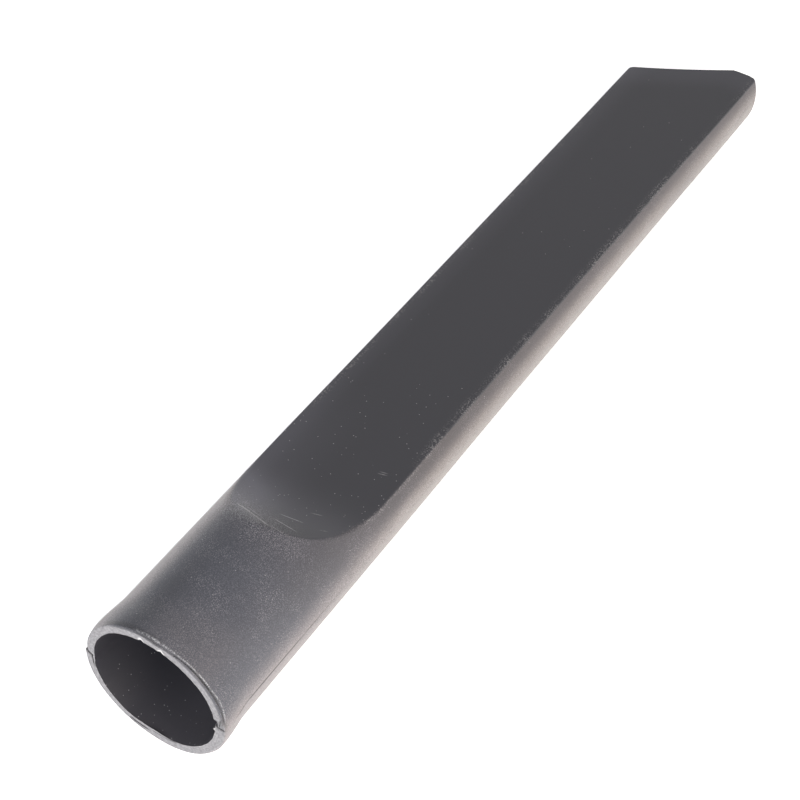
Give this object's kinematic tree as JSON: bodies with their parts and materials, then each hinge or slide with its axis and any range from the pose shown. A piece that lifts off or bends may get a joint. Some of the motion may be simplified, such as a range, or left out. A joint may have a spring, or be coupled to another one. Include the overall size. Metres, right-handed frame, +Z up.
{
  "type": "vacuum cleaner crevice nozzle",
  "caption": "Flat crevice nozzle: a round push-on socket that runs through a scooped shoulder into a long flat tapering blade with a slanted suction mouth.",
  "frame": {"origin": "centre of the socket's mouth, on the bore axis", "axes": "+Y along the bore from the mouth to the tip, +Z up out of the upper flat, +X towards the long side of the slanted tip"},
  "size_m": [0.0408, 0.29, 0.0408],
  "materials": {
    "moulded_polyethylene": "satin, black, blow-moulded"
  },
  "bodies": {
    "root": {"crevice_nozzle": "moulded_polyethylene"}
  },
  "joints": []
}
